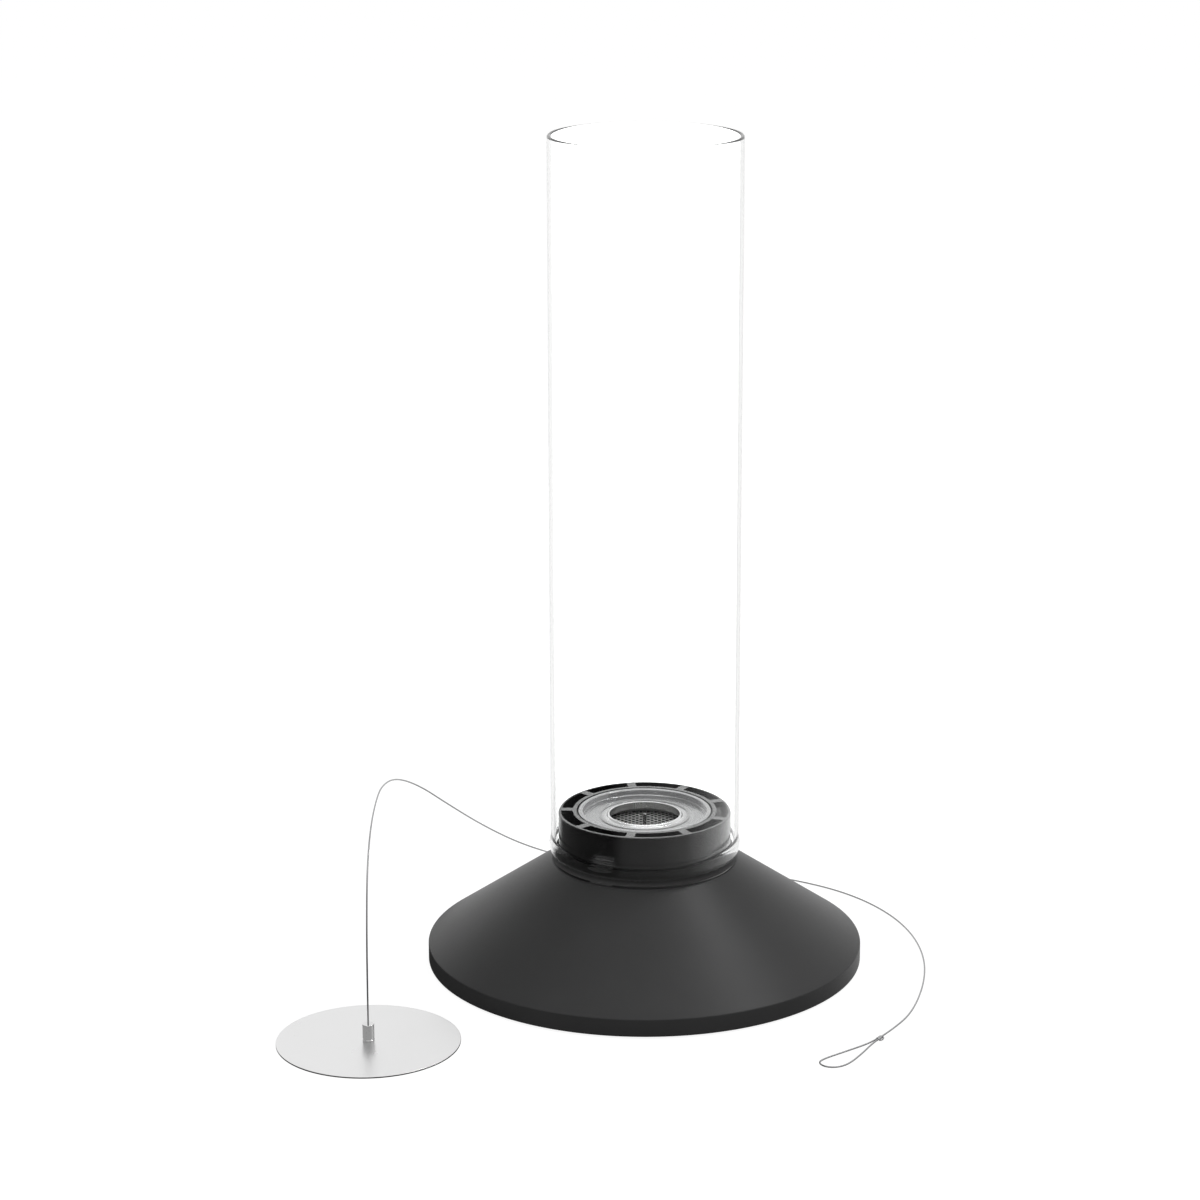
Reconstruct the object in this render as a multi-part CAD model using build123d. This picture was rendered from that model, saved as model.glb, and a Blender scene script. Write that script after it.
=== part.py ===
from build123d import *
import math
import os

# Tabletop fireplace: a glass tube on a conical base round a lift-out burner, with its snuffer.
# Millimetres, Z up. The origin is on the table, on the axis of the base and the glass tube.

# Base shell
base_diameter = 278.0
rim_top_height = 12.0
rim_gap = 1.0
cone_top_diameter = 118.8
cone_top_height = 66.8
flange_bore = 100.0
shell_wall = 1.5
rim_edge_radius = 0.8

# Bottom plate, the angle ring that takes its screws, and the foot ring
foot_thickness = 2.0
foot_inset = 31.0
foot_width = 10.0
plate_thickness = 1.5
plate_clearance = 0.6
angle_ring_thickness = 1.5
angle_ring_height = 6.0
angle_ring_width = 11.0
angle_ring_clearance = 0.1
inlet_count = 24
inlet_diameter = 9.0
inlet_edge_gap = 5.0
plate_screw_count = 6
plate_screw_angle = 30.0

# Countersunk screws, M3
screw_diameter = 3.0
screw_head_diameter = 5.6
screw_hole_clearance = 0.2
tapped_clearance = 0.05
plate_screw_length = 5.5
screw_socket_width = 2.0
screw_socket_depth = 1.0

# Burner housing
housing_diameter = 110.0
housing_top_height = 99.3
housing_wall = 1.7
housing_flange_diameter = 117.6
housing_flange_thickness = 1.2
housing_top_thickness = 2.5
housing_edge_radius = 0.4
rib_count = 9
rib_width = 5.5
rib_angle = 180.0
inner_ring_diameter = 91.8
burner_bore = 86.8
housing_screw_count = 4
housing_screw_gap = 0.5
housing_screw_angle = 45.0

# Sleeve that carries the burner, and the swirl blades round it
sleeve_clearance = 0.5
sleeve_wall = 1.6
sleeve_drop = 18.0
ledge_thickness = 1.5
blade_thickness = 1.2
blade_lean = 45.0
blade_tip_clearance = 0.15
blade_sections = 6

# Glass tube and its seat
glass_diameter = 120.0
glass_wall = 2.5
glass_top_height = 530.0
seat_thickness = 3.4
seat_inner_gap = 0.6
foot_flat_width = 1.0
foot_flat_inset = 1.6
foot_bulge = 0.9
foot_inner_bulge = 0.3
foot_bulge_height = 7.1
foot_bulge_end = 12.5
foot_flare = 0.25

# Burner
seam_diameter = 84.8
seam_height = 6.3
seam_width = 3.0
burner_sheet = 0.8
plate_recess = 2.6
mouth_diameter = 44.8
mouth_lip_width = 1.2
mouth_lip_height = 0.5
neck_depth = 3.4
can_clearance = 0.1
can_depth = 64.0
wool_clearance = 0.3
mesh_depth = 8.0
mesh_thickness = 0.8
mesh_diameter = 58.0
mesh_pitch = 2.8
mesh_wire = 0.9
mesh_open_diameter = 51.0
mesh_collar_wall = 1.0
pin_diameter = 2.4
pin_clearance = 0.1
pin_depth = 0.3

# Snuffer
snuffer_x = -167.0
snuffer_y = -144.0
disc_diameter = 112.0
disc_thickness = 1.0
disc_edge = 0.2
ferrule_diameter = 7.3
ferrule_height = 10.6
ferrule_chamfer = 0.5
rivet_diameter = 3.0
rivet_clearance = 0.05
wire_diameter = 1.0
crimp_length = 5.0
crimp_width = 2.8
crimp_height = 1.3

# The wire's route: straight up out of the ferrule, back over in a springy arch,
# down to the table behind the base, then round the base's right side to the crimp.
wire_points = [
    (-167.0, -144.0, 11.6),
    (-167.0, -144.0, 38.0),
    (-167.0, -140.0, 72.0),
    (-167.6, -122.0, 101.5),
    (-167.8, -90.0, 117.5),
    (-167.8, -48.0, 120.0),
    (-167.0, -8.0, 117.5),
    (-161.3, 33.0, 109.0),
    (-149.0, 74.0, 90.0),
    (-131.5, 111.0, 63.5),
    (-110.5, 142.0, 38.0),
    (-86.0, 163.0, 17.5),
    (-59.0, 171.5, 5.5),
    (-24.0, 171.0, 1.2),
    (14.0, 165.5, 0.65),
    (50.0, 157.5, 0.65),
    (82.0, 147.0, 0.65),
    (109.2, 132.8, 0.65),
    (132.8, 115.2, 0.65),
    (152.8, 91.2, 0.65),
    (168.4, 60.6, 0.65),
    (177.6, 26.0, 0.65),
    (180.5, -13.0, 0.65),
    (176.3, -54.0, 0.65),
    (166.0, -97.0, 0.65),
    (154.0, -121.5, 0.65),
    (144.3, -136.2, 0.65),
]

# The hand loop's route, out of the crimp's front face and back into it, as steps along
# the crimp's axis and across it.
loop_points = [
    (0.0, 0.65),
    (7.0, 0.65),
    (24.0, 5.6),
    (44.0, 12.0),
    (51.0, 11.5),
    (54.0, 5.0),
    (50.5, -1.5),
    (42.0, -4.6),
    (24.0, -3.2),
    (7.0, -0.65),
    (0.0, -0.65),
]

corner_share = 0.45

# How far a cutting shape reaches past the faces it cuts through
cut_margin = 1.0


def ring(outer_radius, inner_radius, low, high):
    """A flat-ended ring about the Z axis."""
    height = high - low
    outer = Pos(0, 0, (low + high) / 2) * Cylinder(outer_radius, height)
    return outer - Pos(0, 0, (low + high) / 2) * Cylinder(inner_radius, height + cut_margin)


def turned(points):
    """A solid turned about the Z axis from an outline of (radius, height) points."""
    outline = Polyline(*[(radius, 0, height) for radius, height in points], close=True)
    return revolve(make_face(outline), Axis.Z)


def around(piece, count, start_angle=0.0):
    """Copies of a piece at equal steps about the Z axis."""
    step = 360 / count
    return [Rot(0, 0, start_angle + step * index) * piece for index in range(count)]


def corner_radii(points):
    """The arc at each corner of a wire's route, as large as its two runs allow."""
    radii = []
    for before, corner, after in zip(points, points[1:], points[2:]):
        run_in = Vector(*corner) - Vector(*before)
        run_out = Vector(*after) - Vector(*corner)
        half_turn = math.radians(run_in.get_angle(run_out)) / 2
        radii.append(corner_share * min(run_in.length, run_out.length) / math.tan(half_turn))
    return radii


def round_wire(points, name):
    """A round wire along straight runs joined by tangent arcs."""
    radii = corner_radii(points)
    path = FilletPolyline(*points, radius=radii)
    section = Plane(origin=path @ 0, z_dir=path % 0) * Circle(wire_diameter / 2)
    tube = sweep(section, path=path)
    expected = math.pi * (wire_diameter / 2) ** 2 * path.length
    print(f"{name}: length {path.length:.1f} mm, least radius {min(radii):.1f} mm")
    print(f"{name}: radii " + ", ".join(f"{radius:.0f}" for radius in radii))
    print(f"{name}: volume {tube.volume:.2f}, section times length {expected:.2f} mm3")
    return tube


def countersunk_screw(length):
    """A countersunk screw with its flat head at Z 0, pointing up, with a hexagon socket."""
    head_depth = (screw_head_diameter - screw_diameter) / 2
    head = Cone(screw_head_diameter / 2, screw_diameter / 2, head_depth)
    shank = Cylinder(screw_diameter / 2, length - head_depth)
    socket = extrude(RegularPolygon(screw_socket_width / 2, 6, major_radius=False), screw_socket_depth)
    body = Pos(0, 0, head_depth / 2) * head
    body += Pos(0, 0, (length + head_depth) / 2) * shank
    return body - socket


def screw_hole(length):
    """The countersunk clearance hole for a screw, from Z 0 up."""
    gap = screw_hole_clearance
    head_radius = screw_head_diameter / 2 + gap
    shank_radius = screw_diameter / 2 + gap
    depth = head_radius - shank_radius
    hole = Pos(0, 0, depth / 2) * Cone(head_radius, shank_radius, depth)
    return hole + Pos(0, 0, length / 2) * Cylinder(shank_radius, length)


def tapped_hole(low, high):
    """The hole in a tapped part, a little wider than the screw's shank."""
    return Pos(0, 0, (low + high) / 2) * Cylinder(screw_diameter / 2 + tapped_clearance, high - low)


# Radii and heights that follow from the sizes above

base_radius = base_diameter / 2
cone_top_radius = cone_top_diameter / 2
flange_bore_radius = flange_bore / 2
cone_slope = (cone_top_height - rim_top_height) / (base_radius - cone_top_radius)
cone_drop = shell_wall * math.hypot(1, cone_slope)
rim_inner_radius = base_radius - shell_wall
flange_low = cone_top_height - shell_wall

foot_outer_radius = base_radius - foot_inset
plate_low = foot_thickness
plate_high = plate_low + plate_thickness
plate_radius = rim_inner_radius - plate_clearance
angle_outer_radius = rim_inner_radius - angle_ring_clearance
angle_inner_radius = angle_outer_radius - angle_ring_width
plate_screw_circle = (angle_outer_radius - angle_ring_thickness + angle_inner_radius) / 2
inlet_circle = foot_outer_radius + inlet_edge_gap + inlet_diameter / 2

housing_radius = housing_diameter / 2
housing_inner_radius = housing_radius - housing_wall
housing_flange_radius = housing_flange_diameter / 2
housing_flange_top = cone_top_height + housing_flange_thickness
rib_underside = housing_top_height - housing_top_thickness
inner_ring_radius = inner_ring_diameter / 2
burner_bore_radius = burner_bore / 2
housing_screw_circle = housing_inner_radius + screw_diameter / 2 + housing_screw_gap

seat_high = housing_flange_top + seat_thickness
seat_inner_radius = housing_radius + seat_inner_gap
glass_radius = glass_diameter / 2
glass_inner_radius = glass_radius - glass_wall
glass_middle_radius = glass_radius - glass_wall / 2

seam_radius = seam_diameter / 2
seam_low = housing_top_height - seam_height
skirt_low = seam_low
seam_inner_radius = seam_radius - seam_width
burner_plate_high = housing_top_height - plate_recess
burner_plate_low = burner_plate_high - burner_sheet
mouth_radius = mouth_diameter / 2
neck_radius = mouth_radius + burner_sheet
can_outer_radius = seam_radius - burner_sheet - can_clearance
can_inner_radius = can_outer_radius - burner_sheet
can_high = housing_top_height - burner_sheet - can_clearance
can_low = can_high - can_depth
mesh_high = burner_plate_high - mesh_depth
mesh_low = mesh_high - mesh_thickness
mesh_radius = mesh_diameter / 2
pin_radius = pin_diameter / 2
pin_hole_radius = pin_radius + pin_clearance
pin_low = can_low + burner_sheet
pin_high = burner_plate_high - pin_depth

sleeve_inner_radius = burner_bore_radius + sleeve_clearance
sleeve_outer_radius = sleeve_inner_radius + sleeve_wall
sleeve_low = seam_low - sleeve_drop
ledge_inner_radius = can_outer_radius + sleeve_clearance


# Base shell: upright rim, straight cone and the flat flange round its top

def make_base_shell():
    inner_rim_high = rim_top_height + shell_wall * cone_slope - cone_drop
    inner_top_radius = cone_top_radius - (cone_drop - shell_wall) / cone_slope
    shell = turned([
        (base_radius, rim_gap),
        (base_radius, rim_top_height),
        (cone_top_radius, cone_top_height),
        (flange_bore_radius, cone_top_height),
        (flange_bore_radius, flange_low),
        (inner_top_radius, flange_low),
        (rim_inner_radius, inner_rim_high),
        (rim_inner_radius, rim_gap),
    ])
    rim_edge = shell.edges().filter_by(GeomType.CIRCLE).sort_by(
        lambda edge: abs(edge.radius - base_radius) + abs(edge.center().Z - rim_top_height))[0]
    shell = fillet(rim_edge, rim_edge_radius)
    hole = Pos(housing_screw_circle, 0, flange_low) * screw_hole(shell_wall + cut_margin)
    return shell - around(hole, housing_screw_count, housing_screw_angle)


# Bottom plate with its air inlets and screw holes

def make_bottom_plate():
    plate = Pos(0, 0, (plate_low + plate_high) / 2) * Cylinder(plate_radius, plate_thickness)
    inlet = Pos(inlet_circle, 0, plate_low) * Cylinder(inlet_diameter / 2, plate_thickness * 2 + cut_margin)
    hole = Pos(plate_screw_circle, 0, plate_low) * screw_hole(plate_thickness + cut_margin)
    plate -= around(inlet, inlet_count)
    return plate - around(hole, plate_screw_count, plate_screw_angle)


# Angle ring inside the rim, above the bottom plate

def make_plate_ring():
    leg_radius = angle_outer_radius - angle_ring_thickness
    profile = turned([
        (angle_inner_radius, plate_high),
        (angle_outer_radius, plate_high),
        (angle_outer_radius, plate_high + angle_ring_height),
        (leg_radius, plate_high + angle_ring_height),
        (leg_radius, plate_high + angle_ring_thickness),
        (angle_inner_radius, plate_high + angle_ring_thickness),
    ])
    hole_top = plate_high + angle_ring_thickness + cut_margin
    hole = Pos(plate_screw_circle, 0, 0) * tapped_hole(plate_high - cut_margin, hole_top)
    return profile - around(hole, plate_screw_count, plate_screw_angle)


def make_plate_screws():
    screw = Pos(plate_screw_circle, 0, plate_low) * countersunk_screw(plate_screw_length)
    return Compound(children=around(screw, plate_screw_count, plate_screw_angle))


def make_foot_ring():
    return ring(foot_outer_radius, foot_outer_radius - foot_width, 0, foot_thickness)


# Burner housing: flange, wall, slotted top and the skirt round the burner

def make_burner_housing():
    housing = turned([
        (housing_inner_radius, cone_top_height),
        (housing_flange_radius, cone_top_height),
        (housing_flange_radius, housing_flange_top),
        (housing_radius, housing_flange_top),
        (housing_radius, housing_top_height - housing_edge_radius),
        (housing_radius - housing_edge_radius, housing_top_height),
        (burner_bore_radius, housing_top_height),
        (burner_bore_radius, skirt_low),
        (inner_ring_radius, skirt_low),
        (inner_ring_radius, rib_underside),
        (housing_inner_radius, rib_underside),
    ])
    slots = ring(
        housing_inner_radius, inner_ring_radius,
        rib_underside - cut_margin, housing_top_height + cut_margin)
    rib_middle = (housing_inner_radius + inner_ring_radius) / 2
    rib_length = housing_radius - inner_ring_radius + cut_margin
    rib = Pos(rib_middle, 0, housing_top_height) * Box(rib_length, rib_width, housing_top_thickness * 2 + cut_margin * 2)
    slots -= around(rib, rib_count, rib_angle)
    housing -= slots
    low = cone_top_height - cut_margin
    hole = Pos(housing_screw_circle, 0, 0) * tapped_hole(low, housing_flange_top + cut_margin)
    return housing - around(hole, housing_screw_count, housing_screw_angle)


def make_housing_screws():
    screw = Pos(housing_screw_circle, 0, flange_low) * countersunk_screw(shell_wall + housing_flange_thickness)
    return Compound(children=around(screw, housing_screw_count, housing_screw_angle))


# Sleeve that carries the burner, and the swirl blades round it, one under each rib

def make_blade():
    low = cone_top_height
    high = rib_underside
    tip_radius = housing_inner_radius - blade_tip_clearance
    root_radius = sleeve_outer_radius - sleeve_wall / 2
    middle_radius = (tip_radius + root_radius) / 2
    lean = math.radians(blade_lean)
    width = blade_thickness / math.sin(lean)
    sections = []
    for index in range(blade_sections):
        drop = (high - low) * index / (blade_sections - 1)
        angle = math.degrees(drop / math.tan(lean) / middle_radius)
        slab = Rectangle(tip_radius - root_radius, width)
        sections.append(Rot(0, 0, -angle) * Pos(middle_radius, 0, high - drop) * slab)
    return loft(sections, ruled=True)


def make_burner_sleeve():
    return turned([
        (sleeve_inner_radius, sleeve_low),
        (sleeve_outer_radius, sleeve_low),
        (sleeve_outer_radius, skirt_low),
        (ledge_inner_radius, skirt_low),
        (ledge_inner_radius, skirt_low - ledge_thickness),
        (sleeve_inner_radius, skirt_low - ledge_thickness),
    ])


def make_swirl_blades():
    inside = ring(
        sleeve_outer_radius, ledge_inner_radius,
        cone_top_height - cut_margin, rib_underside + cut_margin)
    skirt_space = ring(
        inner_ring_radius + blade_tip_clearance, burner_bore_radius,
        skirt_low, rib_underside + cut_margin)
    blade = make_blade() - inside - skirt_space
    return Compound(children=around(blade, rib_count, rib_angle))


# Soft seat ring and the glass tube with its thickened foot

def make_glass_seat():
    return ring(housing_flange_radius, seat_inner_radius, housing_flange_top, seat_high)


def make_glass_tube():
    foot_middle_high = seat_high + foot_bulge_height
    foot_end_high = seat_high + foot_bulge_end
    flat_out = glass_radius - foot_flat_inset
    flat_in = flat_out - foot_flat_width
    bulge_out = glass_radius + foot_bulge
    bulge_in = glass_inner_radius - foot_inner_bulge
    outside = Spline(
        (flat_out, 0, seat_high),
        (bulge_out, 0, foot_middle_high),
        (glass_radius, 0, foot_end_high),
        tangents=[(1, 0, foot_flare), (0, 0, 1)],
    )
    inside = Spline(
        (glass_inner_radius, 0, foot_end_high),
        (bulge_in, 0, foot_middle_high),
        (flat_in, 0, seat_high),
        tangents=[(0, 0, -1), (1, 0, -foot_flare)],
    )
    top = ThreePointArc(
        (glass_radius, 0, glass_top_height - glass_wall / 2),
        (glass_middle_radius, 0, glass_top_height),
        (glass_inner_radius, 0, glass_top_height - glass_wall / 2),
    )
    outline = [
        outside,
        Line(outside @ 1, top @ 0),
        top,
        Line(top @ 1, inside @ 0),
        inside,
        Line(inside @ 1, outside @ 0),
    ]
    return revolve(make_face(outline), Axis.Z)


# Burner: can, seamed lid with its neck, mesh, collar, wool and centre pin

def make_burner_can():
    return turned([
        (0, can_low),
        (can_outer_radius, can_low),
        (can_outer_radius, can_high),
        (can_inner_radius, can_high),
        (can_inner_radius, can_low + burner_sheet),
        (0, can_low + burner_sheet),
    ])


def make_burner_lid():
    lip_high = burner_plate_high + mouth_lip_height
    lip_outer = mouth_radius + mouth_lip_width
    return turned([
        (seam_radius, seam_low),
        (seam_radius, housing_top_height - burner_sheet / 2),
        (seam_radius - burner_sheet / 2, housing_top_height),
        (seam_inner_radius + burner_sheet / 2, housing_top_height),
        (seam_inner_radius, housing_top_height - burner_sheet / 2),
        (seam_inner_radius, burner_plate_high),
        (lip_outer, burner_plate_high),
        (lip_outer - mouth_lip_height, lip_high),
        (mouth_radius + mouth_lip_height, lip_high),
        (mouth_radius, burner_plate_high),
        (mouth_radius, burner_plate_high - neck_depth),
        (neck_radius, burner_plate_high - neck_depth),
        (neck_radius, burner_plate_low),
        (seam_inner_radius + burner_sheet, burner_plate_low),
        (seam_inner_radius + burner_sheet, housing_top_height - burner_sheet),
        (seam_radius - burner_sheet, housing_top_height - burner_sheet),
        (seam_radius - burner_sheet, seam_low),
    ])


def make_burner_mesh():
    mesh = ring(mesh_radius, pin_hole_radius, mesh_low, mesh_high)
    opening = mesh_pitch - mesh_wire
    reach = mesh_open_diameter / 2
    hole = Box(opening, opening, mesh_thickness * 2 + cut_margin)
    across = int(reach / mesh_pitch) + 1
    holes = []
    for column in range(-across, across + 1):
        for row in range(-across, across + 1):
            far = math.hypot(abs(column) * mesh_pitch + opening / 2, abs(row) * mesh_pitch + opening / 2)
            if far < reach and (column or row):
                holes.append(Pos(column * mesh_pitch, row * mesh_pitch, mesh_low) * hole)
    print(f"burner_mesh: {len(holes)} gaps")
    return mesh - holes


def make_mesh_collar():
    return ring(mesh_radius, mesh_radius - mesh_collar_wall, mesh_high, burner_plate_low)


def make_burner_wool():
    wool_radius = can_inner_radius - wool_clearance
    return ring(wool_radius, pin_hole_radius, can_low + burner_sheet, mesh_low)


def make_burner_pin():
    return Pos(0, 0, (pin_low + pin_high) / 2) * Cylinder(pin_radius, pin_high - pin_low)


# Snuffer: disc, ferrule, wire, crimp and hand loop

def make_snuffer_disc():
    disc = Pos(0, 0, disc_thickness / 2) * Cylinder(disc_diameter / 2, disc_thickness)
    disc = chamfer(disc.edges().group_by(Axis.Z)[-1], disc_edge)
    hole = Cylinder(rivet_diameter / 2 + rivet_clearance, disc_thickness * 2 + cut_margin)
    return Pos(snuffer_x, snuffer_y, 0) * (disc - hole)


def make_snuffer_ferrule():
    top = disc_thickness + ferrule_height
    ferrule_radius = ferrule_diameter / 2
    ferrule = turned([
        (0, 0),
        (rivet_diameter / 2, 0),
        (rivet_diameter / 2, disc_thickness),
        (ferrule_radius, disc_thickness),
        (ferrule_radius, top - ferrule_chamfer),
        (ferrule_radius - ferrule_chamfer, top),
        (0, top),
    ])
    return Pos(snuffer_x, snuffer_y, 0) * ferrule


def crimp_plane():
    """The crimp's back face, where the wire enters, facing along the wire's last run."""
    end = Vector(*wire_points[-1])
    run = end - Vector(*wire_points[-2])
    return Plane(origin=end, x_dir=Vector(run.Y, -run.X, 0), z_dir=run)


def make_wire_crimp():
    outline = SlotOverall(crimp_width, crimp_height)
    return extrude(crimp_plane() * outline, crimp_length)


def make_wire_loop():
    face = crimp_plane()
    across = face.x_dir
    along = face.z_dir
    start = face.origin + along * crimp_length
    points = []
    for distance, side in loop_points:
        spot = start + along * distance + across * side
        points.append((spot.X, spot.Y, spot.Z))
    return round_wire(points, "wire_loop")


nodes = {
    "base_shell": make_base_shell(),
    "bottom_plate": make_bottom_plate(),
    "plate_ring": make_plate_ring(),
    "plate_screws": make_plate_screws(),
    "foot_ring": make_foot_ring(),
    "burner_housing": make_burner_housing(),
    "housing_screws": make_housing_screws(),
    "burner_sleeve": make_burner_sleeve(),
    "swirl_blades": make_swirl_blades(),
    "glass_seat": make_glass_seat(),
    "glass_tube": make_glass_tube(),
    "burner_can": make_burner_can(),
    "burner_lid": make_burner_lid(),
    "burner_mesh": make_burner_mesh(),
    "mesh_collar": make_mesh_collar(),
    "burner_wool": make_burner_wool(),
    "burner_pin": make_burner_pin(),
    "snuffer_disc": make_snuffer_disc(),
    "snuffer_ferrule": make_snuffer_ferrule(),
    "snuffer_wire": round_wire(wire_points, "snuffer_wire"),
    "wire_crimp": make_wire_crimp(),
    "wire_loop": make_wire_loop(),
}

os.makedirs("parts", exist_ok=True)
for name, solid in nodes.items():
    export_step(solid, f"parts/{name}.step")
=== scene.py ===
import math

import bpy
from mathutils import Matrix, Vector


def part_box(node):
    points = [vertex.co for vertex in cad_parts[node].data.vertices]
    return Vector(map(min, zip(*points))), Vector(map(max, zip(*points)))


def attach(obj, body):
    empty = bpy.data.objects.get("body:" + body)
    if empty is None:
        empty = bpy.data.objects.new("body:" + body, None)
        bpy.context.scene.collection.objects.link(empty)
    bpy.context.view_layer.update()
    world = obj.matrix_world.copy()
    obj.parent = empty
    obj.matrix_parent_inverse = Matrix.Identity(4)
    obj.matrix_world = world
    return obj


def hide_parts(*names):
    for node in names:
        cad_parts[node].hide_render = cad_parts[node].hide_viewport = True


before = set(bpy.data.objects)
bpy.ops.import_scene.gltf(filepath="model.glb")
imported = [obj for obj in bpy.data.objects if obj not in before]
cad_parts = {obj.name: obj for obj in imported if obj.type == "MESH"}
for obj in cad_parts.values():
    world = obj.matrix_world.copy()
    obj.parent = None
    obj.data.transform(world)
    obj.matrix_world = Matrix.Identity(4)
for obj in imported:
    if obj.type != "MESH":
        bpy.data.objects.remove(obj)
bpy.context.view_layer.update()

# Everything is in metres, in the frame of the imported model: the origin is on the table,
# on the axis of the base and the glass tube, and the camera looks along +Y.
MM = 0.001
TURN = 2 * math.pi
SCENE = bpy.context.scene


# Sizes read from the frame

def size_of(node):
    low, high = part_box(node)
    return high - low


def top_of(node):
    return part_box(node)[1].z


def bottom_of(node):
    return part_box(node)[0].z


def radius_of(node):
    return size_of(node).x / 2


BASE_RADIUS = radius_of("base_shell")
BASE_LOW = bottom_of("base_shell")
BASE_HIGH = top_of("base_shell")
HOUSING_TOP = top_of("burner_housing")
SEAT_HIGH = top_of("glass_seat")
GLASS_TOP = top_of("glass_tube")
DISC_LOW, DISC_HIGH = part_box("snuffer_disc")
DISC_X = (DISC_LOW.x + DISC_HIGH.x) / 2
DISC_Y = (DISC_LOW.y + DISC_HIGH.y) / 2
DISC_RADIUS = (DISC_HIGH.x - DISC_LOW.x) / 2
MESH_HIGH = top_of("burner_mesh")
MESH_LOW = bottom_of("burner_mesh")

# Sizes that follow the model's own, in metres

RIM_TOP = 12.0 * MM
CONE_TOP_RADIUS = 59.4 * MM
FLANGE_BORE_RADIUS = 50.0 * MM
SHELL_WALL = 1.5 * MM
RIM_EDGE = 1.1 * MM
SEAT_INNER_RADIUS = 55.6 * MM
SEAT_LIP_RADIUS = 56.7 * MM
SEAT_LIP_HEIGHT = 6.0 * MM
SEAT_SLOPE = 1.3 * MM
GLASS_RADIUS = 60.0 * MM
GLASS_WALL = 2.5 * MM
FOOT_BULGE = 0.9 * MM
FOOT_INNER_BULGE = 0.3 * MM
FOOT_BULGE_HEIGHT = 7.1 * MM
FOOT_BULGE_END = 12.5 * MM
FOOT_FLAT_INSET = 1.6 * MM
FOOT_FLAT_WIDTH = 1.0 * MM
SEAM_RADIUS = 42.4 * MM
SEAM_INNER_RADIUS = 39.4 * MM
SEAM_HEIGHT = 6.3 * MM
BURNER_SHEET = 0.8 * MM
PLATE_HIGH = HOUSING_TOP - 3.8 * MM
MOUTH_RADIUS = 22.4 * MM
MOUTH_LIP = 2.0 * MM
MOUTH_LIP_HEIGHT = 1.3 * MM
NECK_DEPTH = 3.4 * MM
PIN_RADIUS = 1.2 * MM
WIRE_DIAMETER = 1.0 * MM
RIVET_RADIUS = 1.5 * MM
FERRULE_RADIUS = 3.65 * MM
FERRULE_HEIGHT = 10.6 * MM


# Node trees

class Shader:
    """A material's node tree with short calls for the nodes that the finishes share."""

    def __init__(self, name):
        self.material = bpy.data.materials.new(name)
        self.material.use_nodes = True
        self.nodes = self.material.node_tree.nodes
        self.links = self.material.node_tree.links
        self.surface = self.nodes["Principled BSDF"]
        self.place = self.nodes.new("ShaderNodeTexCoord").outputs["Object"]

    def set(self, **values):
        for name, value in values.items():
            self.surface.inputs[name.replace("_", " ")].default_value = value

    def link(self, output, socket):
        self.links.new(output, self.surface.inputs[socket])

    def noise(self, scale, detail=3.0, roughness=0.5, place=None):
        """Noise whose features are about 1/scale metres across."""
        node = self.nodes.new("ShaderNodeTexNoise")
        node.inputs["Scale"].default_value = scale
        node.inputs["Detail"].default_value = detail
        node.inputs["Roughness"].default_value = roughness
        self.links.new(place or self.place, node.inputs["Vector"])
        return node.outputs["Fac"]

    def ramp(self, source, low, high, start=0.3, end=0.7):
        """A colour or grey value that runs from low to high as source runs from start to end."""
        node = self.nodes.new("ShaderNodeValToRGB")
        first, last = node.color_ramp.elements
        first.position, last.position = start, end
        first.color = low if isinstance(low, tuple) else (low, low, low, 1)
        last.color = high if isinstance(high, tuple) else (high, high, high, 1)
        self.links.new(source, node.inputs["Fac"])
        return node.outputs["Color"]

    def math(self, operation, first, second=None):
        node = self.nodes.new("ShaderNodeMath")
        node.operation = operation
        for socket, value in zip(node.inputs, (first, second)):
            if value is None:
                continue
            if isinstance(value, (int, float)):
                socket.default_value = value
            else:
                self.links.new(value, socket)
        return node.outputs["Value"]

    def around(self, centre=(0.0, 0.0, 0.0)):
        """Distance from a vertical axis, angle round it and height, as three outputs."""
        shift = self.nodes.new("ShaderNodeVectorMath")
        shift.operation = "SUBTRACT"
        shift.inputs[1].default_value = centre
        self.links.new(self.place, shift.inputs[0])
        parts = self.nodes.new("ShaderNodeSeparateXYZ")
        self.links.new(shift.outputs["Vector"], parts.inputs["Vector"])
        x, y, z = (parts.outputs[axis] for axis in "XYZ")
        square = self.math("ADD", self.math("MULTIPLY", x, x), self.math("MULTIPLY", y, y))
        return self.math("SQRT", square), self.math("ARCTAN2", y, x), z

    def combine(self, x, y, z):
        node = self.nodes.new("ShaderNodeCombineXYZ")
        for socket, value in zip(node.inputs, (x, y, z)):
            if isinstance(value, (int, float)):
                socket.default_value = value
            else:
                self.links.new(value, socket)
        return node.outputs["Vector"]

    def bump(self, height, distance, strength=1.0):
        node = self.nodes.new("ShaderNodeBump")
        node.inputs["Strength"].default_value = strength
        node.inputs["Distance"].default_value = distance
        self.links.new(height, node.inputs["Height"])
        self.link(node.outputs["Normal"], "Normal")


# Finishes: a grey is one linear value, and a pair of values is the darkest and lightest of a noise

GRAIN_ROUGHNESS = (0.85, 1.2)


def grey(level, cool=0.0):
    return (level, level, level + cool, 1)


def powder_coat():
    shader = Shader("powder_coat")
    fine = shader.noise(2600, detail=2)
    broad = shader.noise(18, detail=2)
    shader.link(shader.ramp(broad, grey(0.035, 0.0005), grey(0.040, 0.0005)), "Base Color")
    shader.link(shader.ramp(fine, 0.34, 0.44), "Roughness")
    shader.set(Specular_IOR_Level=0.17)
    shader.bump(fine, 0.12 * MM, 0.35)
    return shader.material


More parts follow.
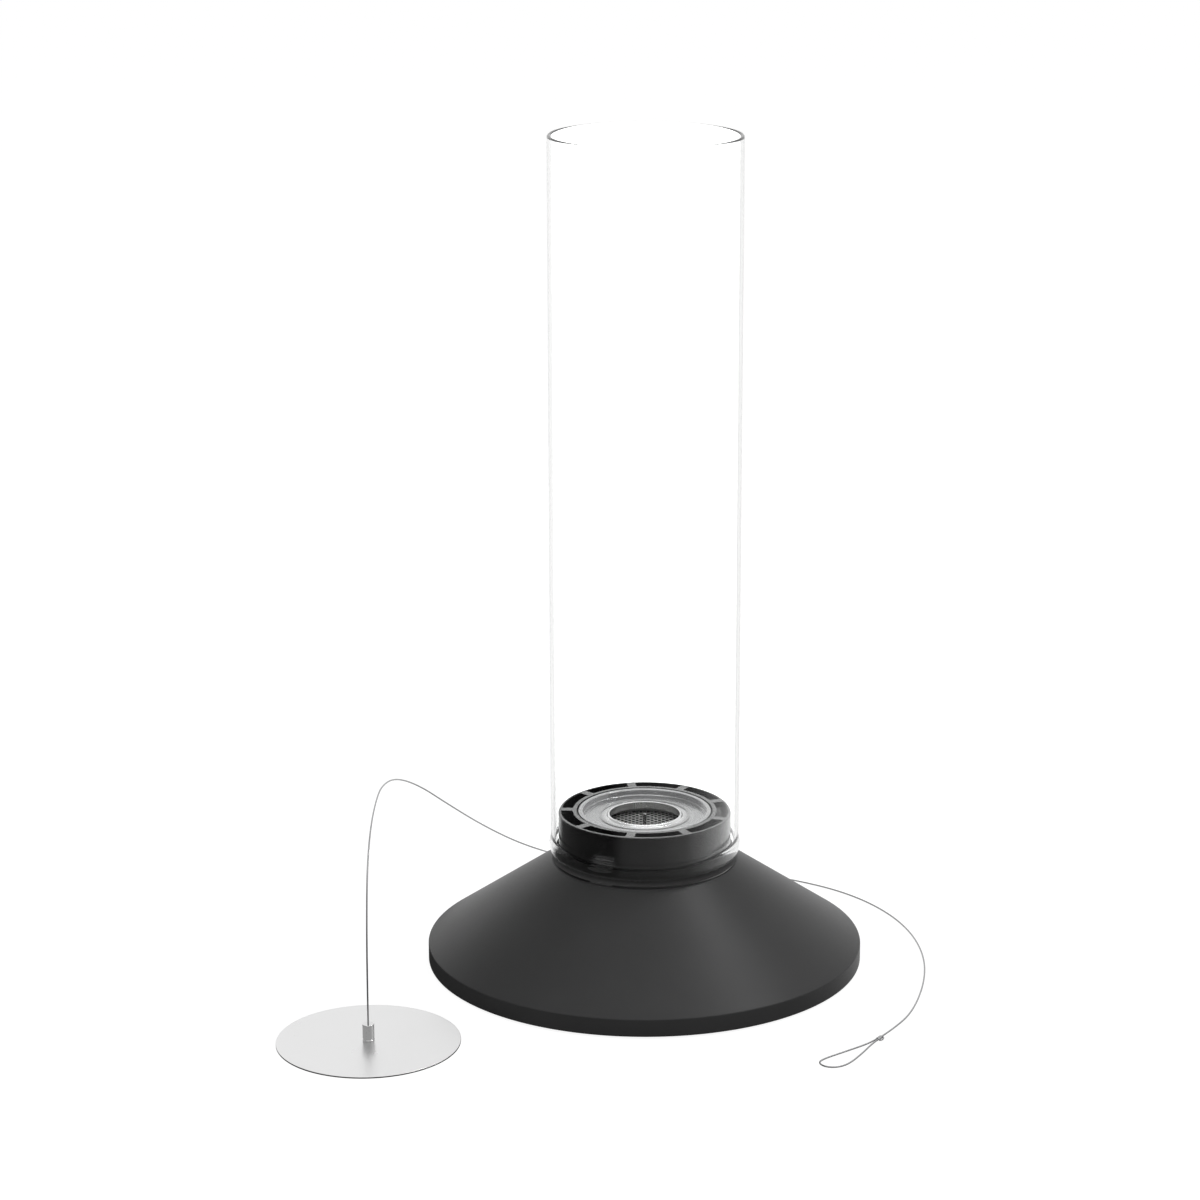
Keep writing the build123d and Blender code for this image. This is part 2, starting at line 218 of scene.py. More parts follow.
def housing_enamel():
    shader = Shader("housing_enamel")
    fine = shader.noise(900, detail=2)
    shader.link(shader.ramp(fine, grey(0.005, 0.0002), grey(0.009, 0.0002)), "Base Color")
    shader.link(shader.ramp(fine, 0.2, 0.24), "Roughness")
    shader.set(Coat_Weight=1.0, Coat_Roughness=0.06)
    return shader.material


def black_plate():
    shader = Shader("black_plate")
    fine = shader.noise(1800, detail=2)
    shader.link(shader.ramp(fine, grey(0.022), grey(0.03)), "Base Color")
    shader.link(shader.ramp(fine, 0.45, 0.6), "Roughness")
    shader.bump(fine, 0.12 * MM, 0.35)
    return shader.material


def rubber(name):
    """Matt rubber, still without its colour, and the noise of its surface."""
    shader = Shader(name)
    fine = shader.noise(1500, detail=3)
    shader.link(shader.ramp(fine, 0.65, 0.8), "Roughness")
    shader.set(Specular_IOR_Level=0.3)
    shader.bump(fine, 0.1 * MM, 0.3)
    return shader, fine


def foot_rubber():
    shader, fine = rubber("foot_rubber")
    shader.link(shader.ramp(fine, grey(0.018), grey(0.027)), "Base Color")
    return shader.material


def seat_rubber():
    """Black at its top and paler towards the cone, as the band under the glass looks in the photograph."""
    shader, fine = rubber("seat_rubber")
    # Painted shade: the rubber is darkest at its top, where the glass foot shades it, and paler towards the
    # cone.
    height = shader.around()[2]
    above = shader.math("SUBTRACT", height, bottom_of("glass_seat"))
    share = shader.math("DIVIDE", above, size_of("glass_seat").z)
    shader.link(shader.ramp(share, grey(0.07), grey(0.02), 0.0, 1.0), "Base Color")
    return shader.material


def clear_glass():
    shader = Shader("clear_glass")
    faint = shader.noise(6, detail=1)
    shader.link(shader.ramp(faint, (0.985, 0.99, 0.988, 1), (0.99, 0.995, 0.993, 1)), "Base Color")
    shader.set(IOR=1.47, Roughness=0.0, Transmission_Weight=1.0)
    return shader.material


def turned_steel(name, centre, level, groove, roughness, contrast=0.04, cool=0.0, polished_to=0.0):
    """Steel turned on a lathe: fine rings about a vertical axis, each a little lighter or darker.

    Up to the radius polished_to, where one is given, the steel is bright and has no rings.
    """
    ring_drift = 0.6
    polished_edge = 0.4 * MM
    polished_colour = grey(0.95)
    shader = Shader(name)
    distance, angle = shader.around(centre)[:2]
    across = shader.math("MULTIPLY", distance, 1 / groove)
    round_it = shader.math("MULTIPLY", angle, ring_drift)
    rings = shader.noise(1, detail=4, roughness=0.65, place=shader.combine(across, round_it, 0.0))
    shade = shader.ramp(rings, grey(level - contrast, cool), grey(level + contrast, cool))
    if polished_to:
        polished = shader.ramp(distance, 1.0, 0.0, polished_to - polished_edge, polished_to)
        mix = shader.nodes.new("ShaderNodeMix")
        mix.data_type = "RGBA"
        shader.links.new(polished, mix.inputs["Factor"])
        shader.links.new(shade, mix.inputs["A"])
        mix.inputs["B"].default_value = polished_colour
        shade = mix.outputs["Result"]
    shader.link(shade, "Base Color")
    shader.link(shader.ramp(rings, *(roughness * part for part in GRAIN_ROUGHNESS)), "Roughness")
    shader.set(Metallic=1.0)
    shader.bump(rings, 0.02 * MM, 0.35)
    return shader.material


def plain_steel(name, level, roughness, scale=1200, contrast=0.05, cool=0.0, bump=0.02 * MM):
    """Bare steel with a fine grain."""
    shader = Shader(name)
    grain = shader.noise(scale, detail=4, roughness=0.6)
    shader.link(shader.ramp(grain, grey(level - contrast, cool), grey(level + contrast, cool)), "Base Color")
    shader.link(shader.ramp(grain, *(roughness * part for part in GRAIN_ROUGHNESS)), "Roughness")
    shader.set(Metallic=1.0)
    shader.bump(grain, bump, 0.3)
    return shader.material


def ceramic_wool():
    shader = Shader("ceramic_wool")
    fibres = shader.noise(700, detail=6, roughness=0.7)
    # Painted shade: the wool is coloured nearly black to stand in for the shade deep in the can under the
    # mesh.
    shader.link(shader.ramp(fibres, grey(0.012), (0.035, 0.034, 0.033, 1)), "Base Color")
    shader.set(Roughness=0.95)
    shader.bump(fibres, 0.8 * MM, 0.6)
    return shader.material


# Meshes

def add_mesh(name, points, faces, material, body, smooth_angle=40.0):
    mesh = bpy.data.meshes.new(name)
    mesh.from_pydata(points, [], faces)
    mesh.validate()
    mesh.materials.append(material)
    piece = bpy.data.objects.new(name, mesh)
    SCENE.collection.objects.link(piece)
    mesh.shade_smooth()
    mesh.set_sharp_from_angle(angle=math.radians(smooth_angle))
    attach(piece, body)
    return piece


def rounded(outline, radii, steps=6):
    """A closed outline of (radius, height) points with round corners; a radius of 0 stays sharp."""
    result = []
    count = len(outline)
    for index, (corner, radius) in enumerate(zip(outline, radii)):
        corner = Vector(corner)
        before = Vector(outline[index - 1]) - corner
        after = Vector(outline[(index + 1) % count]) - corner
        if radius <= 0:
            result.append(tuple(corner))
            continue
        half = before.angle(after) / 2
        reach = min(radius / math.tan(half), before.length * 0.49, after.length * 0.49)
        start = corner + before.normalized() * reach
        end = corner + after.normalized() * reach
        for step in range(steps + 1):
            share = step / steps
            point = start * (1 - share) ** 2 + corner * 2 * share * (1 - share) + end * share ** 2
            result.append(tuple(point))
    return result


def guarded(outline):
    """The outline with a point close to each end of its long sides, so that they shade straight."""
    guard, long_side = 0.25 * MM, 1.0 * MM
    result = []
    for index, point in enumerate(outline):
        start, end = Vector(point), Vector(outline[(index + 1) % len(outline)])
        result.append(tuple(start))
        run = end - start
        if run.length > long_side:
            result.append(tuple(start + run.normalized() * guard))
            result.append(tuple(end - run.normalized() * guard))
    return result


def lathe(name, outline, material, body, segments=256, centre=(0.0, 0.0)):
    """A solid turned about a vertical axis from a closed outline of (radius, height) points."""
    outline = guarded(outline)
    points, faces = [], []
    nearly_nothing = 1e-7
    on_axis = [radius < nearly_nothing for radius, height in outline]
    rings = []
    for (radius, height), single in zip(outline, on_axis):
        first = len(points)
        if single:
            points.append((centre[0], centre[1], height))
            rings.append([first] * segments)
            continue
        for step in range(segments):
            angle = TURN * step / segments
            x = centre[0] + radius * math.cos(angle)
            y = centre[1] + radius * math.sin(angle)
            points.append((x, y, height))
        rings.append(list(range(first, first + segments)))
    count = len(outline)
    for index in range(count):
        if on_axis[index] and on_axis[(index + 1) % count]:
            continue
        lower, upper = rings[index], rings[(index + 1) % count]
        for step in range(segments):
            after = (step + 1) % segments
            corners = [lower[step], lower[after], upper[after], upper[step]]
            face = []
            for corner in corners:
                if corner not in face:
                    face.append(corner)
            faces.append(face)
    return add_mesh(name, points, faces, material, body)


# Camera, as fitted to the outlines in the photograph

def make_camera():
    picture = 1200
    focal_pixels = 3417.0
    axis_column = 644.97
    sensor = 36.0
    distance, height = 2065.6 * MM, 814.2 * MM
    pitch, roll = math.radians(15.593), math.radians(0.09)
    data = bpy.data.cameras.new("camera")
    data.sensor_width = sensor
    data.lens = focal_pixels / picture * sensor
    data.shift_x = (picture / 2 - axis_column) / picture
    data.clip_start, data.clip_end = 0.05, 60.0
    camera = bpy.data.objects.new("camera", data)
    SCENE.collection.objects.link(camera)
    turn = Matrix.Rotation(math.pi / 2 - pitch, 4, "X") @ Matrix.Rotation(roll, 4, "Z")
    camera.matrix_world = Matrix.Translation((0, -distance, height)) @ turn
    SCENE.camera = camera


# Snuffer wire: its points are the same as in the model's source, in millimetres

WIRE_POINTS = [
    (-167.0, -144.0, 11.6),
    (-167.0, -144.0, 38.0),
    (-167.0, -140.0, 72.0),
    (-167.6, -122.0, 101.5),
    (-167.8, -90.0, 117.5),
    (-167.8, -48.0, 120.0),
    (-167.0, -8.0, 117.5),
    (-161.3, 33.0, 109.0),
    (-149.0, 74.0, 90.0),
    (-131.5, 111.0, 63.5),
    (-110.5, 142.0, 38.0),
    (-86.0, 163.0, 17.5),
    (-59.0, 171.5, 5.5),
    (-24.0, 171.0, 1.2),
    (14.0, 165.5, 0.65),
    (50.0, 157.5, 0.65),
    (82.0, 147.0, 0.65),
    (109.2, 132.8, 0.65),
    (132.8, 115.2, 0.65),
    (152.8, 91.2, 0.65),
    (168.4, 60.6, 0.65),
    (177.6, 26.0, 0.65),
    (180.5, -13.0, 0.65),
    (176.3, -54.0, 0.65),
    (166.0, -97.0, 0.65),
    (154.0, -121.5, 0.65),
    (144.3, -136.2, 0.65),
]

# The hand loop's points, as steps along the crimp's axis and across it, in millimetres
LOOP_POINTS = [
    (0.0, 0.65),
    (7.0, 0.65),
    (24.0, 5.6),
    (44.0, 12.0),
    (51.0, 11.5),
    (54.0, 5.0),
    (50.5, -1.5),
    (42.0, -4.6),
    (24.0, -3.2),
    (7.0, -0.65),
    (0.0, -0.65),
]
# The wire's cut end, hooked back beside the crimp: steps along, across and up from its front face
TAIL_POINTS = [
    (-1.0, -0.9, 0.0),
    (1.2, -1.7, 0.2),
    (1.6, -3.0, 0.5),
    (-0.4, -3.6, 0.7),
    (-2.8, -2.7, 0.6),
    (-4.0, -1.2, 0.5),
]
CRIMP_LENGTH = 5.0 * MM
CRIMP_WIDTH = 2.8 * MM
CRIMP_HEIGHT = 1.3 * MM


def smooth_curve(name, points, thickness, material):
    """A round tube along one open NURBS spline with the given control points."""
    data = bpy.data.curves.new(name, "CURVE")
    data.dimensions = "3D"
    spline = data.splines.new("NURBS")
    spline.points.add(len(points) - 1)
    for control, point in zip(spline.points, points):
        control.co = (*point, 1)
    spline.order_u = 3
    spline.use_endpoint_u = True
    data.resolution_u = 16
    data.bevel_depth = thickness / 2
    data.bevel_resolution = 4
    data.use_fill_caps = True
    data.materials.append(material)
    piece = bpy.data.objects.new(name, data)
    SCENE.collection.objects.link(piece)
    return piece


def make_wire(steel):
    points = [Vector(point) * MM for point in WIRE_POINTS]
    wire = smooth_curve("snuffer_wire_rope", points, WIRE_DIAMETER, steel)
    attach(wire, "snuffer")
    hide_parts("snuffer_wire")

    end = points[-1]
    along = (points[-1] - points[-2]).normalized()
    across = Vector((along.y, -along.x, 0))
    start = end + along * CRIMP_LENGTH
    loop_points = [start + (along * step + across * side) * MM for step, side in LOOP_POINTS]
    loop = smooth_curve("hand_loop", loop_points, WIRE_DIAMETER, steel)
    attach(loop, "snuffer")
    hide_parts("wire_loop")

    up = Vector((0, 0, 1))
    tail_points = [
        start + (along * step + across * side + up * rise) * MM for step, side, rise in TAIL_POINTS]
    tail = smooth_curve("wire_tail", tail_points, WIRE_DIAMETER, steel)
    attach(tail, "snuffer")

    crimp = make_crimp(end, along, across, steel)


def make_crimp(end, along, across, steel):
    """A flattened sleeve, pressed in at its middle, round the wire and its turned-back end."""
    rows, sides = 13, 28
    pressed_in, pressed_length = 0.16, 0.22
    rounded_end, rounded_off = 0.14, 0.25
    boxiness = 0.75
    up = Vector((0, 0, 1))
    points, faces = [], []
    for row in range(rows):
        share = row / (rows - 1)
        squeeze = 1 - pressed_in * math.exp(-((share - 0.5) / pressed_length) ** 2)
        into_end = max(0.0, abs(share - 0.5) * 2 - (1 - rounded_end)) / rounded_end
        rounding = math.sqrt(1 - rounded_off * into_end ** 2)
        for side in range(sides):
            angle = TURN * side / sides
            wide = math.copysign(abs(math.cos(angle)) ** boxiness, math.cos(angle))
            high = math.copysign(abs(math.sin(angle)) ** boxiness, math.sin(angle))
            centre = end + along * CRIMP_LENGTH * share
            reach_across = across * wide * CRIMP_WIDTH / 2 * rounding
            reach_up = up * high * CRIMP_HEIGHT / 2 * squeeze * rounding
            points.append(centre + reach_across + reach_up)
    for row in range(rows - 1):
        for side in range(sides):
            after = (side + 1) % sides
            first, second = row * sides, (row + 1) * sides
            faces.append([first + side, first + after, second + after, second + side])
    faces.append(list(range(sides - 1, -1, -1)))
    faces.append([(rows - 1) * sides + side for side in range(sides)])
    crimp = add_mesh("crimp_sleeve", points, faces, steel, "snuffer")
    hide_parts("wire_crimp")
    return crimp


# Base

def make_base(paint):
    """The cone with its rim, from the outer edge up over the top flange and down inside."""
    slope = (BASE_HIGH - RIM_TOP) / (BASE_RADIUS - CONE_TOP_RADIUS)
    drop = SHELL_WALL * math.hypot(1, slope)
    inner = BASE_RADIUS - SHELL_WALL
    outline = [
        (BASE_RADIUS, BASE_LOW),
        (BASE_RADIUS, RIM_TOP),
        (CONE_TOP_RADIUS, BASE_HIGH),
        (FLANGE_BORE_RADIUS, BASE_HIGH),
        (FLANGE_BORE_RADIUS, BASE_HIGH - SHELL_WALL),
        (CONE_TOP_RADIUS - (drop - SHELL_WALL) / slope, BASE_HIGH - SHELL_WALL),
        (inner, RIM_TOP + SHELL_WALL * slope - drop),
        (inner, BASE_LOW),
    ]
    foot_edge, top_edge, bore_edge = 0.5 * MM, 0.6 * MM, 0.2 * MM
    top_bend, rim_bend, inner_edge = 0.5 * MM, 1.0 * MM, 0.3 * MM
    radii = [foot_edge, RIM_EDGE, top_edge, bore_edge, bore_edge, top_bend, rim_bend, inner_edge]
    shell = lathe("base_cone", rounded(outline, radii), paint, "base", segments=360)
    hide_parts("base_shell")


def make_seat(material):
    """The ring under the glass: hollowed towards the cone outside, with a lip inside the foot."""
    outer, inner = radius_of("glass_seat"), SEAT_INNER_RADIUS
    low, high = bottom_of("glass_seat"), SEAT_HIGH
    steps = 8
    side = []
    for step in range(steps + 1):
        angle = math.pi / 2 * step / steps
        radius = outer - SEAT_SLOPE * math.sin(angle)
        side.append((radius, low + (high - low) * (1 - math.cos(angle))))
    lip_high = high + SEAT_LIP_HEIGHT
    inside = [(SEAT_LIP_RADIUS, high), (SEAT_LIP_RADIUS, lip_high), (inner, lip_high), (inner, low)]
    fine, lip_foot, lip_outer_edge, lip_inner_edge = 0.2 * MM, 0.3 * MM, 0.4 * MM, 0.3 * MM
    radii = [fine] * (steps + 1) + [lip_foot, lip_outer_edge, lip_inner_edge, fine]
    outline = rounded(side + inside, radii, steps=4)
    seat = lathe("seat_ring", outline, material, "base")
    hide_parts("glass_seat")


# Glass tube: straight wall, fire-polished rim and a thickened, rounded foot

def make_glass(material):
    middle = GLASS_RADIUS - GLASS_WALL / 2
    half = GLASS_WALL / 2
    foot_steps, rim_steps = 32, 14
    outside = foot_side(foot_steps, GLASS_RADIUS - FOOT_FLAT_INSET, GLASS_RADIUS + FOOT_BULGE, GLASS_RADIUS)
    inner = GLASS_RADIUS - GLASS_WALL
    flat_inner = GLASS_RADIUS - FOOT_FLAT_INSET - FOOT_FLAT_WIDTH
    inside = foot_side(foot_steps, flat_inner, inner - FOOT_INNER_BULGE, inner)
    rim = []
    for step in range(rim_steps + 1):
        angle = math.pi * step / rim_steps
        rim.append((middle + half * math.cos(angle), GLASS_TOP - half + half * math.sin(angle)))
    outline = outside + rim + inside[::-1]
    tube = lathe("glass_cylinder", outline, material, "glass", segments=384)
    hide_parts("glass_tube")


def foot_side(steps, flat, widest, wall):
    """One side of the foot: from the flat it stands on, round the bulge and up to the wall."""
    side = []
    for step in range(steps + 1):
        angle = math.pi / 2 * step / steps
        height = FOOT_BULGE_HEIGHT * (1 - math.cos(angle))
        side.append((flat + (widest - flat) * math.sin(angle), SEAT_HIGH + height))
    for step in range(1, steps + 1):
        share = step / steps
        ease = share * share * (3 - 2 * share)
        height = FOOT_BULGE_HEIGHT + (FOOT_BULGE_END - FOOT_BULGE_HEIGHT) * share
        side.append((widest + (wall - widest) * ease, SEAT_HIGH + height))
    return side


# Burner

def make_burner_lid(steel):
    low = HOUSING_TOP - SEAM_HEIGHT
    plate_low = PLATE_HIGH - BURNER_SHEET
    inner_leg = SEAM_INNER_RADIUS + BURNER_SHEET
    outer_leg = SEAM_RADIUS - BURNER_SHEET
    lip_outer = MOUTH_RADIUS + MOUTH_LIP
    neck_low = PLATE_HIGH - NECK_DEPTH
    neck_outer = MOUTH_RADIUS + BURNER_SHEET
    outline = [
        (SEAM_RADIUS, low),
        (SEAM_RADIUS, HOUSING_TOP),
        (SEAM_INNER_RADIUS, HOUSING_TOP),
        (SEAM_INNER_RADIUS, PLATE_HIGH),
        (lip_outer, PLATE_HIGH),
        (lip_outer - MOUTH_LIP / 2, PLATE_HIGH + MOUTH_LIP_HEIGHT),
        (MOUTH_RADIUS, PLATE_HIGH + MOUTH_LIP_HEIGHT),
        (MOUTH_RADIUS, neck_low),
        (neck_outer, neck_low),
        (neck_outer, plate_low),
        (inner_leg, plate_low),
        (inner_leg, HOUSING_TOP - BURNER_SHEET),
        (outer_leg, HOUSING_TOP - BURNER_SHEET),
        (outer_leg, low),
    ]
    soft = 0.7 * MM
    fine = 0.25 * MM
    rolled = 0.9 * MM
    radii = [fine, soft, soft, soft, soft, rolled, rolled, fine, fine, fine, fine, fine, fine, fine]
    lid = lathe("burner_top", rounded(outline, radii), steel, "burner", segments=320)
    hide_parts("burner_lid")


def make_mesh(steel):
    """Plain woven wire mesh: two sets of wires that pass over and under each other."""
    reach = 27.5 * MM
    pitch = 2.4 * MM
    thickness = 0.6 * MM
    height = (MESH_HIGH + MESH_LOW) / 2
    overlap = 0.52
    sides, step_length = 6, pitch / 6
    points, faces = [], []
    count = int(reach / pitch)
    for direction in range(2):
        for index in range(-count, count + 1):
            offset = (index + 0.5) * pitch
            if abs(offset) >= reach - thickness:
                continue
            half = math.sqrt(reach ** 2 - offset ** 2)
            steps = max(4, int(2 * half / step_length))
            first = len(points)
            for step in range(steps + 1):
                along = -half + 2 * half * step / steps
                phase = math.pi * (along / pitch + index + direction)
                rise = math.cos(phase) * thickness * overlap
                for side in range(sides):
                    angle = TURN * side / sides
                    out = offset + math.cos(angle) * thickness / 2
                    up = height + rise + math.sin(angle) * thickness / 2
                    points.append((along, out, up) if direction == 0 else (out, along, up))
            for step in range(steps):
                for side in range(sides):
                    after = (side + 1) % sides
                    low, high = first + step * sides, first + (step + 1) * sides
                    faces.append([low + side, low + after, high + after, high + side])
            faces.append([first + side for side in range(sides)])
            faces.append([first + steps * sides + side for side in range(sides)])
    mesh = add_mesh("woven_mesh", points, faces, steel, "burner", smooth_angle=70)
    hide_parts("burner_mesh")


def make_pin(steel):
    top, low = top_of("burner_pin"), bottom_of("burner_pin")
    tip_edge = 0.25 * MM
    outline = rounded([(0, low), (PIN_RADIUS, low), (PIN_RADIUS, top), (0, top)], [0, 0, tip_edge, 0])
    pin = lathe("centre_pin", outline, steel, "burner", segments=48)
    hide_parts("burner_pin")


# Snuffer disc and ferrule

def make_disc(steel):
    thickness = DISC_HIGH.z - DISC_LOW.z
    edge = 0.25 * MM
    hole = RIVET_RADIUS
    outline = [(hole, 0), (DISC_RADIUS, 0), (DISC_RADIUS, thickness), (hole, thickness)]
    disc = lathe(
        "snuffer_plate", rounded(outline, [0, edge, edge, 0]), steel, "snuffer",
        segments=256, centre=(DISC_X, DISC_Y))
    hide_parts("snuffer_disc")


def make_ferrule(steel):
    low = DISC_HIGH.z
    high = low + FERRULE_HEIGHT
    groove_depth, groove_slope, groove_floor = 0.25 * MM, 0.2 * MM, 0.3 * MM
    groove_low = low + 0.9 * MM
    groove_high = groove_low + groove_floor + 2 * groove_slope
    outline = [
        (0, 0),
        (RIVET_RADIUS, 0),
        (RIVET_RADIUS, low),
        (FERRULE_RADIUS, low),
        (FERRULE_RADIUS, groove_low),
        (FERRULE_RADIUS - groove_depth, groove_low + groove_slope),
        (FERRULE_RADIUS - groove_depth, groove_high - groove_slope),
        (FERRULE_RADIUS, groove_high),
        (FERRULE_RADIUS, high),
        (0, high),
    ]
    low_edge, top_edge = 0.15 * MM, 0.5 * MM
    radii = [0, 0, 0, low_edge, 0, 0, 0, 0, top_edge, 0]
    ferrule = lathe(
        "ferrule", rounded(outline, radii), steel, "snuffer",
        segments=96, centre=(DISC_X, DISC_Y))
    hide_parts("snuffer_ferrule")


# Studio: a white surround, dark in front and to the left for what the black parts reflect

# What a mirroring surface finds: degrees from the front, to the right, and the level there
SURROUND = [
    (-180, 1.0),
    (-142, 1.0),
    (-128, 0.06),
    (-38, 0.02),
    (-24, 0.14),
    (18, 0.19),
    (50, 0.31),
    (79, 0.70),
    (108, 0.90),
    (180, 1.0),
]

# White as seen through the glass, which takes some light away, and the level that lights the parts
FLOOR_THROUGH_GLASS = 1.12
WORLD_THROUGH_GLASS = 1.5
ROOM_LEVEL = 0.42

# Lamps: each one's place and what it points at, its two sides in metres and its power in watts
TOP_LIGHT = ((0.0, -0.4, 2.2), (0.0, 0.0, 0.1), (2.4, 1.6), 13)
LEFT_LIGHT = ((-1.2, 2.0, 0.8), (0.0, 0.0, 0.1), (1.0, 0.9), 0.6)
RIGHT_LIGHT = ((0.87, 0.37, 1.82), (0.0, 0.0, 0.05), (0.35, 0.35), 8)


class Surround:
    """Node values that the floor and the world share: how a ray came, and what it should find."""

    def __init__(self, tree, seen_through_glass):
        self.nodes, self.links = tree.nodes, tree.links
        path = self.nodes.new("ShaderNodeLightPath").outputs
        turned_off = self.math("ADD", path["Glossy Depth"], path["Diffuse Depth"])
        turned_off = self.math("MINIMUM", turned_off, 1.0)
        through = path["Is Transmission Ray"]
        looking = self.math("MAXIMUM", path["Is Camera Ray"], through)
        self.straight = self.math("MULTIPLY", looking, self.math("SUBTRACT", 1.0, turned_off))
        through_after_mirror = self.math("MULTIPLY", through, turned_off)
        self.mirrored = self.math("MAXIMUM", path["Is Glossy Ray"], through_after_mirror)
        extra = self.math("MULTIPLY", through, seen_through_glass - 1.0)
        self.white = self.math("MULTIPLY", self.straight, self.math("ADD", extra, 1.0))

    def math(self, operation, first, second):
        node = self.nodes.new("ShaderNodeMath")
        node.operation = operation
        for socket, value in zip(node.inputs, (first, second)):
            if isinstance(value, (int, float)):
                socket.default_value = value
            else:
                self.links.new(value, socket)
        return node.outputs["Value"]

    def level_round(self, vector):
        """The surround's level towards a direction, by its angle from the front, and the direction's rise."""
        parts = self.nodes.new("ShaderNodeSeparateXYZ")
        self.links.new(vector, parts.inputs["Vector"])
        angle = self.math("ARCTAN2", parts.outputs["X"], self.math("MULTIPLY", parts.outputs["Y"], -1.0))
        share = self.math("ADD", self.math("DIVIDE", angle, TURN), 0.5)
        ramp = self.nodes.new("ShaderNodeValToRGB")
        elements = ramp.color_ramp.elements
        for degrees, level in SURROUND[1:-1]:
            elements.new(degrees / 360 + 0.5).color = (level, level, level, 1)
        elements[0].color = (SURROUND[0][1],) * 3 + (1,)
        elements[len(elements) - 1].color = (SURROUND[-1][1],) * 3 + (1,)
        self.links.new(share, ramp.inputs["Fac"])
        return ramp.outputs["Color"], parts.outputs["Z"]


def add_lamp(name, place, target, size, power):
    data = bpy.data.lights.new(name, "AREA")
    data.shape = "RECTANGLE"
    data.size, data.size_y = size
    data.energy = power
    lamp = bpy.data.objects.new(name, data)
    SCENE.collection.objects.link(lamp)
    lamp.location = place
    lamp.rotation_euler = (Vector(target) - Vector(place)).to_track_quat("-Z", "Y").to_euler()


def make_floor():
    reach = 15.0
    corners = [(-reach, -reach, 0), (reach, -reach, 0), (reach, reach, 0), (-reach, reach, 0)]
    mesh = bpy.data.meshes.new("floor")
    mesh.from_pydata(corners, [], [(0, 1, 2, 3)])
    floor = bpy.data.objects.new("floor", mesh)
    SCENE.collection.objects.link(floor)
    material = bpy.data.materials.new("floor_white")
    material.use_nodes = True
    tree = material.node_tree
    nodes, links = tree.nodes, tree.links
    surface = nodes["Principled BSDF"]
    surface.inputs["Base Color"].default_value = grey(0.86)
    surface.inputs["Roughness"].default_value = 0.9
    surface.inputs["Specular IOR Level"].default_value = 0.0

    # Part of the floor's white is its own, and part is lit, so that shadows stay on it.
    own_share, own_level = 0.7, 1.274
    surround = Surround(tree, FLOOR_THROUGH_GLASS)
    level = surround.level_round(nodes.new("ShaderNodeTexCoord").outputs["Object"])[0]
    seen = surround.math("MULTIPLY", surround.white, own_level)
    mirrored = surround.math("MULTIPLY", surround.mirrored, level)
    glow = nodes.new("ShaderNodeEmission")
    links.new(surround.math("ADD", seen, mirrored), glow.inputs["Strength"])
    own = surround.math("MULTIPLY", surround.straight, own_share)
    share = surround.math("ADD", own, surround.mirrored)
    mix = nodes.new("ShaderNodeMixShader")
    links.new(share, mix.inputs["Fac"])
    links.new(surface.outputs["BSDF"], mix.inputs[1])
    links.new(glow.outputs["Emission"], mix.inputs[2])
    links.new(mix.outputs["Shader"], nodes["Material Output"].inputs["Surface"])
    mesh.materials.append(material)


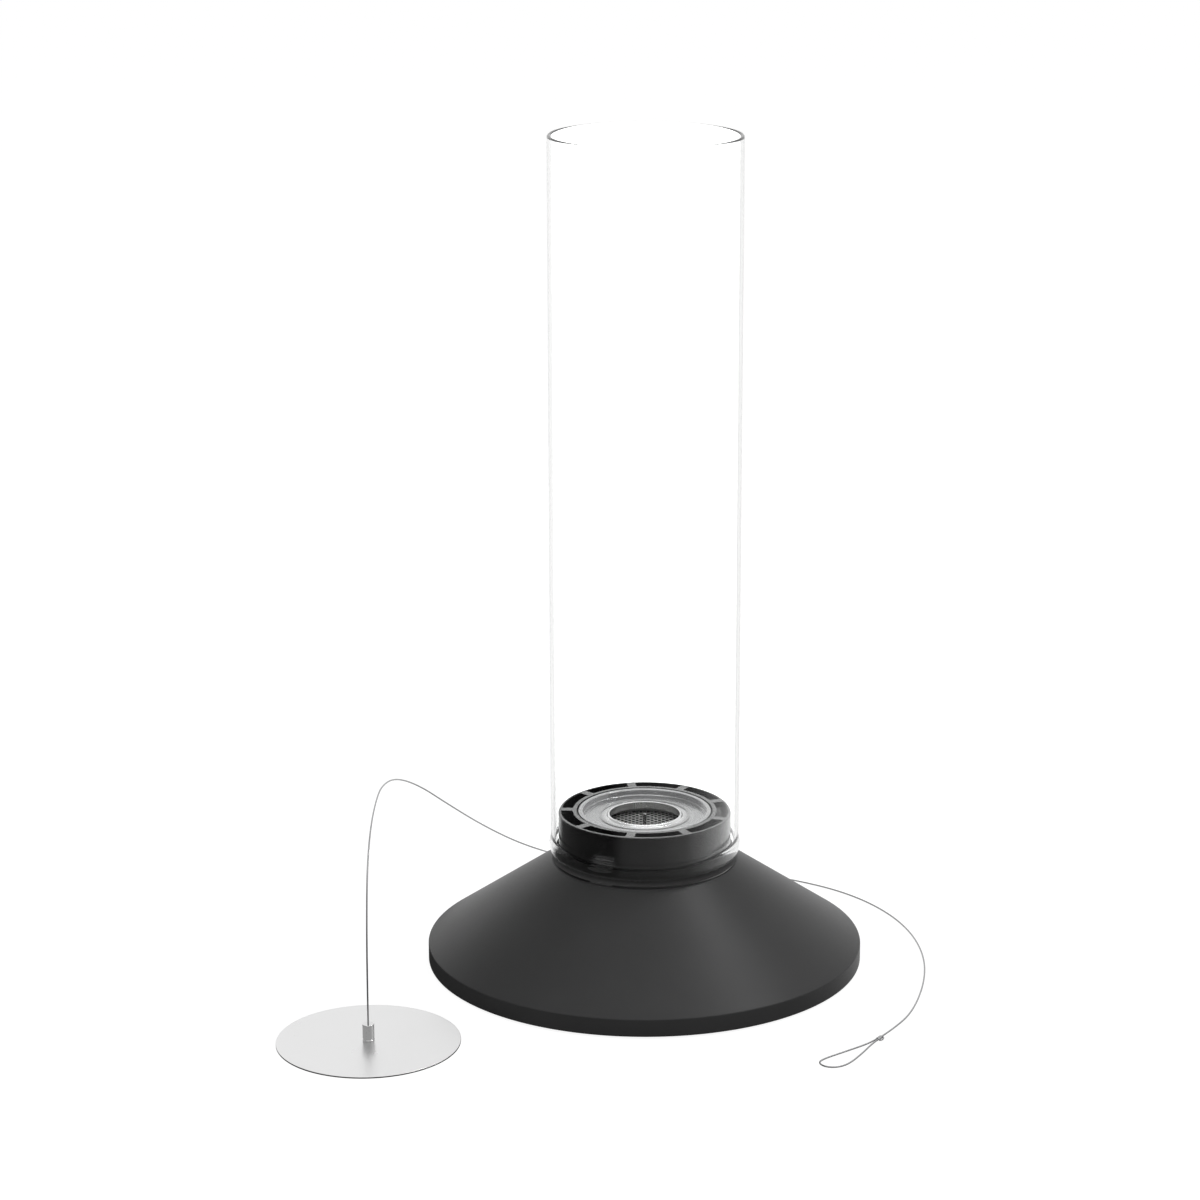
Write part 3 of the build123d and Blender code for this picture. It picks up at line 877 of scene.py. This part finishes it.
def make_world():
    world = bpy.data.worlds.new("studio")
    SCENE.world = world
    world.use_nodes = True
    tree = world.node_tree
    nodes, links = tree.nodes, tree.links
    surround = Surround(tree, WORLD_THROUGH_GLASS)
    level, height = surround.level_round(nodes.new("ShaderNodeTexCoord").outputs["Generated"])

    # The dark part of the surround is low: it fades into a plain level overhead.
    fade_start, fade_end, overhead = 0.03, 0.25, 0.5
    fade = nodes.new("ShaderNodeMapRange")
    fade.inputs["From Min"].default_value = fade_start
    fade.inputs["From Max"].default_value = fade_end
    fade.inputs["To Max"].default_value = overhead
    links.new(height, fade.inputs["Value"])
    level = surround.math("MAXIMUM", level, fade.outputs["Result"])
    mirrored = surround.math("MULTIPLY", surround.mirrored, level)
    not_mirrored = surround.math("SUBTRACT", 1.0, surround.mirrored)
    other = surround.math("SUBTRACT", not_mirrored, surround.straight)
    room = surround.math("MULTIPLY", other, ROOM_LEVEL)
    strength = surround.math("ADD", surround.math("ADD", mirrored, room), surround.white)
    background = nodes["Background"]
    background.inputs["Color"].default_value = (1, 1, 1, 1)
    links.new(strength, background.inputs["Strength"])


def make_lamps():
    add_lamp("top_light", *TOP_LIGHT)
    add_lamp("left_light", *LEFT_LIGHT)
    add_lamp("right_light", *RIGHT_LIGHT)


def paint_node(name, material):
    """Gives a carried-over node its finish."""
    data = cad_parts[name].data
    data.materials.clear()
    data.materials.append(material)


SCENE.view_settings.view_transform = "Standard"
make_camera()

wire_steel = plain_steel("wire_steel", 0.38, 0.35, scale=2500, cool=0.005)
make_wire(wire_steel)

coat = powder_coat()
enamel = housing_enamel()
plate_paint = black_plate()
screw_steel = plain_steel("screw_steel", 0.5, 0.3)
can_steel = plain_steel("can_steel", 0.55, 0.3)
burner_steel = turned_steel(
    "burner_steel", (0, 0, 0), 0.55, groove=0.5 * MM, roughness=0.26,
    contrast=0.06, cool=0.005, polished_to=MOUTH_RADIUS + MOUTH_LIP)
mesh_steel = plain_steel("mesh_steel", 0.45, 0.35, cool=-0.01)
pin_steel = plain_steel("pin_steel", 0.3, 0.25)
disc_steel = plain_steel("disc_steel", 0.79, 0.31, scale=22, contrast=0.012, bump=0.01 * MM)
ferrule_steel = turned_steel(
    "ferrule_steel", (DISC_X, DISC_Y, 0), 0.72, groove=0.4 * MM, roughness=0.14, contrast=0.03)

make_base(coat)
make_seat(seat_rubber())
make_glass(clear_glass())
make_burner_lid(burner_steel)
make_mesh(mesh_steel)
make_pin(pin_steel)
make_disc(disc_steel)
make_ferrule(ferrule_steel)

for node in ("burner_housing", "burner_sleeve", "swirl_blades"):
    paint_node(node, enamel)
for node in ("bottom_plate", "plate_ring"):
    paint_node(node, plate_paint)
for node in ("plate_screws", "housing_screws"):
    paint_node(node, screw_steel)
for node in ("burner_can", "mesh_collar"):
    paint_node(node, can_steel)
paint_node("foot_ring", foot_rubber())
paint_node("burner_wool", ceramic_wool())

make_floor()
make_world()
make_lamps()
